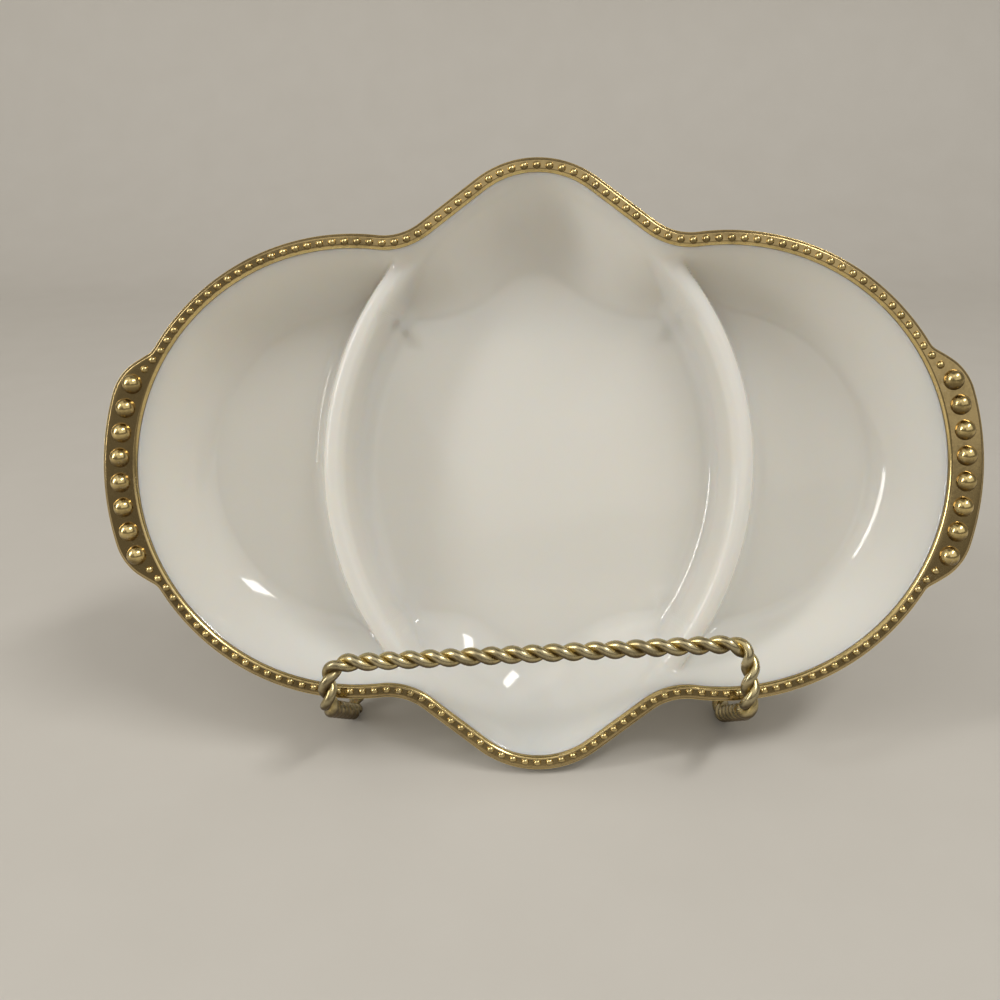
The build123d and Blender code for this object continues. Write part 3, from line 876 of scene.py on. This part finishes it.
def feed(tree, node, inputs):
    """Feed a node's inputs, named with _ for a space or numbered as in _0: with a value, or with another
    node's output to link."""
    for key, value in inputs.items():
        socket = node.inputs[int(key[1:])] if key[0] == "_" else node.inputs[key.replace("_", " ")]
        if isinstance(value, bpy.types.NodeSocket):
            tree.links.new(value, socket)
        else:
            socket.default_value = value


def add(tree, kind, settings=None, **inputs):
    """A node with its settings and inputs."""
    node = tree.nodes.new(kind)
    for key, value in (settings or {}).items():
        setattr(node, key, value)
    feed(tree, node, inputs)
    return node


def finish(piece, name, recipe):
    """Give a piece its one material, made once: the recipe works out a Principled BSDF's inputs."""
    material = bpy.data.materials.get(name)
    if material is None:
        material = bpy.data.materials.new(name)
        material.use_nodes = True
        tree = material.node_tree
        tree.nodes.clear()
        shader = tree.nodes.new("ShaderNodeBsdfPrincipled")
        output = tree.nodes.new("ShaderNodeOutputMaterial")
        tree.links.new(shader.outputs[0], output.inputs["Surface"])
        feed(tree, shader, recipe(tree))
    piece.data.materials.clear()
    piece.data.materials.append(material)


def object_place(tree):
    """Object coordinates, in metres."""
    return tree.nodes.new("ShaderNodeTexCoord").outputs["Object"]


def marked(tree, name):
    """A piece's own attribute, as a mask."""
    return add(tree, "ShaderNodeAttribute", {"attribute_name": name}).outputs["Fac"]


def noise(tree, spot, scale, detail=2.0):
    """A cloudy pattern from 0 to 1."""
    return add(tree, "ShaderNodeTexNoise", Vector=spot, Scale=scale, Detail=detail).outputs[0]


def ramp(tree, factor, low, high):
    """A mask that goes smoothly from 0 at low to 1 at high."""
    settings = {"interpolation_type": "SMOOTHSTEP"}
    node = add(tree, "ShaderNodeMapRange", settings, Value=factor, From_Min=low, From_Max=high)
    return node.outputs["Result"]


def calc(tree, operation, a, b=0.0, c=0.0):
    """One arithmetic step."""
    return add(tree, "ShaderNodeMath", {"operation": operation}, _0=a, _1=b, _2=c).outputs[0]


def mix(tree, factor, a, b):
    """A mix of two colours, which are a Mix node's inputs 6 and 7."""
    return add(tree, "ShaderNodeMix", {"data_type": "RGBA"}, _0=factor, _6=a, _7=b).outputs[2]


def bump(tree, height, strength, distance):
    """A normal that follows a height."""
    return add(tree, "ShaderNodeBump", Strength=strength, Distance=distance, Height=height).outputs[0]


def rgba(value):
    """A colour with full alpha."""
    return (*value, 1.0)


def group(name, inputs, outputs, build):
    """A shader node group with named inputs and outputs, made once."""
    found = bpy.data.node_groups.get(name)
    if found:
        return found
    tree = bpy.data.node_groups.new(name, "ShaderNodeTree")
    for socket_name, kind, default in inputs:
        socket = tree.interface.new_socket(socket_name, in_out="INPUT", socket_type=kind)
        socket.default_value = default
    for socket_name in outputs:
        tree.interface.new_socket(socket_name, in_out="OUTPUT", socket_type="NodeSocketFloat")
    given, result = tree.nodes.new("NodeGroupInput"), tree.nodes.new("NodeGroupOutput")
    feed(tree, result, build(tree, given.outputs))
    return tree


def place(tree, node_group, **inputs):
    """A node group in a material, with its own values."""
    return add(tree, "ShaderNodeGroup", {"node_tree": node_group}, **inputs).outputs


def flecks_group():
    """Small scattered specks: middles of a Voronoi pattern's cells, out to a size that noise changes."""

    def build(tree, given):
        settings = {"feature": "F1"}
        cells = add(tree, "ShaderNodeTexVoronoi", settings, Vector=given["Vector"], Scale=given["Scale"])
        patch = ramp(tree, noise(tree, given["Vector"], given["Patch Scale"]), 0.35, 0.75)
        limit = calc(tree, "MULTIPLY", patch, given["Size"])
        near = calc(tree, "SUBTRACT", limit, cells.outputs["Distance"])
        return {"Mask": ramp(tree, near, 0.0, 0.08)}

    return group(
        "scattered flecks",
        [
            ("Vector", "NodeSocketVector", (0, 0, 0)),
            ("Scale", "NodeSocketFloat", 1500.0),
            ("Patch Scale", "NodeSocketFloat", 60.0),
            ("Size", "NodeSocketFloat", 0.3),
        ],
        ["Mask"],
        build,
    )


def scratches_group():
    """Fine hairline scratches: thin bands where a stretched, turned noise passes its middle value."""

    def build(tree, given):
        way = {"Rotation": (0.3, 0.5, 0.9), "Scale": (1.0, 14.0, 1.0)}
        stretched = add(tree, "ShaderNodeMapping", Vector=given["Vector"], **way).outputs[0]
        pattern = noise(tree, stretched, given["Scale"], 1.0)
        off_middle = calc(tree, "ABSOLUTE", calc(tree, "SUBTRACT", pattern, 0.5))
        line = ramp(tree, calc(tree, "SUBTRACT", 0.012, off_middle), 0.0, 0.008)
        patch = ramp(tree, noise(tree, given["Vector"], 35.0), 0.5, 0.7)
        return {"Mask": calc(tree, "MULTIPLY", line, patch)}

    return group(
        "hairline scratches",
        [("Vector", "NodeSocketVector", (0, 0, 0)), ("Scale", "NodeSocketFloat", 60.0)],
        ["Mask"],
        build,
    )


def tarnish_and_shade_group():
    """Cloudy tarnish: two sizes of noise, pushed towards the painted shade that an attribute marks."""

    def build(tree, given):
        large = noise(tree, given["Vector"], given["Scale"], 3.0)
        small = noise(tree, given["Vector"], calc(tree, "MULTIPLY", given["Scale"], 9.0))
        cloud = calc(tree, "MULTIPLY_ADD", small, 0.35, calc(tree, "MULTIPLY", large, 0.65))
        # The Hollow input is a painted shade mask: it pushes the tarnish into creases and onto undersides.
        pushed = calc(tree, "MULTIPLY_ADD", given["Hollow"], given["Push"], cloud)
        return {"Mask": ramp(tree, pushed, 0.42, 0.95), "Cloud": cloud}

    return group(
        "cloudy tarnish and painted shade",
        [
            ("Vector", "NodeSocketVector", (0, 0, 0)),
            ("Scale", "NodeSocketFloat", 80.0),
            ("Hollow", "NodeSocketFloat", 0.0),
            ("Push", "NodeSocketFloat", 0.5),
        ],
        ["Mask", "Cloud"],
        build,
    )


def opal_glass(tree):
    """Creamy pressed opal glass: cloudy tone, warmer where it is thick, faint flow in the gloss, specks and
    hairlines."""
    colours = sizes("finishes")
    spot = object_place(tree)
    cloudy = ramp(tree, noise(tree, spot, 14.0, 3.0), 0.3, 0.75)
    deep = ramp(tree, marked(tree, "depth"), 0.3, 1.0)
    warm = calc(tree, "MULTIPLY", calc(tree, "ADD", cloudy, deep), 0.5)
    specks = place(tree, flecks_group(), Vector=spot, Scale=900.0, Patch_Scale=45.0, Size=0.10)["Mask"]
    body = mix(tree, warm, rgba(colours.glass), rgba(colours.glass_warm))
    lines = place(tree, scratches_group(), Vector=spot, Scale=55.0)["Mask"]
    gloss = calc(tree, "MULTIPLY_ADD", noise(tree, spot, 30.0), 0.05, 0.045)
    return {
        "Base_Color": mix(tree, calc(tree, "MULTIPLY", specks, 0.35), body, rgba(colours.specks)),
        "Roughness": calc(tree, "MULTIPLY_ADD", lines, 0.08, gloss),
        "Normal": bump(tree, noise(tree, spot, 38.0, 1.0), 0.06, 0.0015),
        "IOR": 1.5,
        "Subsurface_Weight": 0.8,
        "Subsurface_Radius": (0.011, 0.009, 0.007),
        "Subsurface_Scale": 1.0,
    }


def fired_gold(tree):
    """Fired gold on glass: brighter where a painted highlight is marked, darker where painted shade is marked and
    in cloudy tarnish, worn through in tiny flecks.
    """
    colours = sizes("finishes")
    spot, hollow, wear_and_highlight = object_place(tree), marked(tree, "hollow"), marked(tree, "wear_and_highlight")
    # The hollow attribute is painted shade: it pushes the dark gold into the band's creases and onto the beads'
    # lower sides.
    stain_and_shade = place(tree, tarnish_and_shade_group(), Vector=spot, Scale=90.0, Hollow=hollow, Push=0.45)["Mask"]
    highlighted_gold = mix(tree, calc(tree, "MULTIPLY", wear_and_highlight, 0.8), rgba(colours.gold), rgba(colours.gold_highlight))
    gold = mix(tree, calc(tree, "MULTIPLY", stain_and_shade, 0.8), highlighted_gold, rgba(colours.gold_tarnish_and_shade))
    flecks = place(tree, flecks_group(), Vector=spot, Scale=1300.0, Patch_Scale=70.0, Size=0.34)["Mask"]
    worn = calc(tree, "MULTIPLY", flecks, calc(tree, "MULTIPLY_ADD", wear_and_highlight, 0.2, 0.15))
    return {
        "Base_Color": mix(tree, worn, gold, rgba(colours.gold_worn)),
        "Metallic": calc(tree, "SUBTRACT", 1.0, worn),
        "Roughness": calc(tree, "MULTIPLY_ADD", stain_and_shade, 0.14, 0.17),
        "Normal": bump(tree, noise(tree, spot, 900.0), 0.12, 0.0001),
    }


def twisted_brass(tree):
    """Lacquered antique brass wire: pale and satin, with painted bounce light making it yellower in the grooves,
    and cloudy tarnish with painted shade underneath.
    """
    colours = sizes("finishes")
    spot, under = object_place(tree), marked(tree, "under")
    # Painted shade: the under attribute darkens the wires' undersides, mixed with cloudy tarnish.
    stain_and_shade = place(tree, tarnish_and_shade_group(), Vector=spot, Scale=70.0, Hollow=under, Push=0.8)["Mask"]
    # Painted bounce light: the groove attribute turns the brass yellower where the wires face each other.
    tone = mix(tree, marked(tree, "groove"), rgba(colours.wire), rgba(colours.wire_bounce_light))
    return {
        "Base_Color": mix(tree, stain_and_shade, tone, rgba(colours.wire_tarnish_and_shade)),
        "Metallic": 1.0,
        "Roughness": calc(tree, "MULTIPLY_ADD", stain_and_shade, 0.25, 0.24),
        "Normal": bump(tree, noise(tree, spot, 700.0), 0.15, 0.00012),
    }


def brass_fittings(tree):
    """Brass sleeve, rod and hinges: satin, with cloudy tarnish and fine scratches."""
    colours = sizes("finishes")
    spot = object_place(tree)
    tarnish = place(tree, tarnish_and_shade_group(), Vector=spot, Scale=120.0, Hollow=0.0, Push=0.0)
    lines = place(tree, scratches_group(), Vector=spot, Scale=260.0)["Mask"]
    tone = mix(tree, tarnish["Mask"], rgba(colours.brass), rgba(colours.wire_tarnish_and_shade))
    return {
        "Base_Color": mix(tree, calc(tree, "MULTIPLY", lines, 0.4), tone, rgba(colours.brass_bright)),
        "Metallic": 1.0,
        "Roughness": calc(tree, "MULTIPLY_ADD", tarnish["Cloud"], 0.3, 0.14),
        "Normal": bump(tree, tarnish["Cloud"], 0.2, 0.0001),
    }


def pale_table(tree):
    """Pale matt table with a faint grain."""
    tone = sizes("finishes").table
    darker = (tone[0] * 0.94, tone[1] * 0.935, tone[2] * 0.925)
    grain = noise(tree, object_place(tree), 25.0, 4.0)
    return {"Base_Color": mix(tree, grain, rgba(tone), rgba(darker)), "Roughness": 0.6}


# ---------------------------------------------------------------- stage

# Each soft box: its name, its way and distance from the middle of the rim, its two sides, watts and colour.
SOFT_BOXES = (
    ("room", (0.344, -0.574, 0.743), 1.9, (3.0, 2.4), 13.8, (1.0, 0.985, 0.95)),
    ("overhead", (-0.60, -0.28, 0.75), 1.9, (2.2, 2.0), 7.0, (1.0, 0.97, 0.92)),
    ("ceiling", (0.45, -0.30, 0.82), 1.6, (0.75, 0.20), 7.5, (1.0, 0.985, 0.95)),
    ("left", (-0.86, -0.36, 0.42), 1.5, (0.2, 0.95), 7.0, (1.0, 0.98, 0.94)),
)


def soft_box(name, way, distance, sides, watts, tint):
    """A rectangular area light aimed at the middle of the rim."""
    light = bpy.data.lights.new(name, "AREA")
    light.shape = "RECTANGLE"
    light.size, light.size_y = sides
    light.energy = watts
    light.color = tint
    lamp = bpy.data.objects.new(name, light)
    bpy.context.scene.collection.objects.link(lamp)
    lamp.location = rim_centre() + np.array(way) / np.linalg.norm(way) * distance
    lamp.rotation_mode = "QUATERNION"
    lamp.rotation_quaternion = (Vector(rim_centre()) - lamp.location).to_track_quat("-Z", "Y")


def backdrop_sheet():
    """Table and backdrop in one sheet, as world points and faces: a profile of rows carried along x. It is
    level for the first part of its rows, then a quarter round, then upright."""
    rows, level, curved = 60, 0.45, 0.25
    front, back, half_width, radius, rise = -2.5, 0.75, 4.0, 0.35, 8.0
    t = np.linspace(0.0, 1.0, rows)
    bend = np.clip((t - level) / curved, 0, 1) * math.pi / 2
    y = np.where(t < level, front + (back - front) * t / level, back + radius * np.sin(bend))
    z = np.where(t < level, 0.0, radius * (1 - np.cos(bend))) + np.clip(t - level - curved, 0, 1) * rise
    x = np.repeat([-half_width, half_width], rows)
    row = np.arange(rows - 1)
    faces = np.stack([row, row + rows, row + rows + 1, row + 1], axis=-1)
    return np.stack([x, np.tile(y, 2), np.tile(z, 2)], axis=-1), faces


def front_camera():
    """A camera in front of the dish. Its place and axes are given across, up and out of the rim's plane."""
    lens = bpy.data.cameras.new("camera")
    lens.sensor_width = lens.lens = 36.0
    lens.clip_start, lens.clip_end = 0.01, 50.0
    camera = bpy.data.objects.new("camera", lens)
    bpy.context.scene.collection.objects.link(camera)
    axes = np.array([ACROSS, UP, OUT])
    eye = rim_centre() + (-0.00047, 0.0105, 0.3202) @ axes
    right = (0.99937, -0.00322, -0.03543) @ axes
    lift = (0.00096, 0.99798, -0.06345) @ axes
    placed = np.column_stack([right, lift, np.cross(right, lift), eye])
    camera.matrix_world = Matrix(np.vstack([placed, [0, 0, 0, 1]]).tolist())
    return camera


class SERVER_OT_stage(bpy.types.Operator):
    """Set the table, the backdrop, the lights and the camera"""

    bl_idname = "server.stage"
    bl_label = "Stage"

    def execute(self, context):
        points, faces = backdrop_sheet()
        mesh = bpy.data.meshes.new("table")
        mesh.from_pydata(points.tolist(), [], faces.tolist())
        mesh.shade_smooth()
        table = bpy.data.objects.new("table", mesh)
        context.scene.collection.objects.link(table)
        finish(table, "pale table", pale_table)
        for box in SOFT_BOXES:
            soft_box(*box)
        world = bpy.data.worlds.new("room")
        world.use_nodes = True
        fill = world.node_tree.nodes["Background"]
        feed(world.node_tree, fill, {"Color": (0.78, 0.72, 0.64, 1.0), "Strength": 0.24})
        context.scene.world = world
        context.scene.camera = front_camera()
        context.scene.view_settings.view_transform = "Standard"
        return {"FINISHED"}


class SERVER_PT_panel(bpy.types.Panel):
    """Steps that build the server, and its sizes and colours"""

    bl_idname = "SERVER_PT_panel"
    bl_label = "Chip and dip server"
    bl_space_type = "VIEW_3D"
    bl_region_type = "UI"
    bl_category = "Server"

    def draw(self, context):
        for name, cls in PROPERTY_GROUPS.items():
            box = self.layout.box()
            box.label(text=cls.__doc__)
            group_of_sizes = getattr(context.scene, name)
            for key in cls.__annotations__:
                box.prop(group_of_sizes, key)
        for step in STEPS:
            self.layout.operator(step.bl_idname)


PROPERTY_GROUPS = {
    "dish_sizes": DishSizes,
    "divider_sizes": DividerSizes,
    "band_sizes": BandSizes,
    "wire_sizes": WireSizes,
    "finishes": Finishes,
}
STEPS = (
    SERVER_OT_stage,
    SERVER_OT_glass_dish,
    SERVER_OT_gilt_band,
    SERVER_OT_rim_beads,
    SERVER_OT_handle_beads,
    SERVER_OT_twisted_frame,
    SERVER_OT_twisted_leg,
    SERVER_OT_fittings,
)


def register():
    for name, cls in PROPERTY_GROUPS.items():
        bpy.utils.register_class(cls)
        setattr(bpy.types.Scene, name, bpy.props.PointerProperty(type=cls))
    for cls in (*STEPS, SERVER_PT_panel):
        bpy.utils.register_class(cls)


def unregister():
    for cls in (SERVER_PT_panel, *reversed(STEPS)):
        bpy.utils.unregister_class(cls)
    for name, cls in reversed(PROPERTY_GROUPS.items()):
        delattr(bpy.types.Scene, name)
        bpy.utils.unregister_class(cls)


def main():
    """Build every piece in order."""
    register()
    bpy.ops.server.stage()
    bpy.ops.server.glass_dish()
    bpy.ops.server.gilt_band()
    bpy.ops.server.rim_beads()
    bpy.ops.server.handle_beads()
    bpy.ops.server.twisted_frame()
    bpy.ops.server.twisted_leg()
    bpy.ops.server.fittings()


if __name__ == "__main__":
    main()
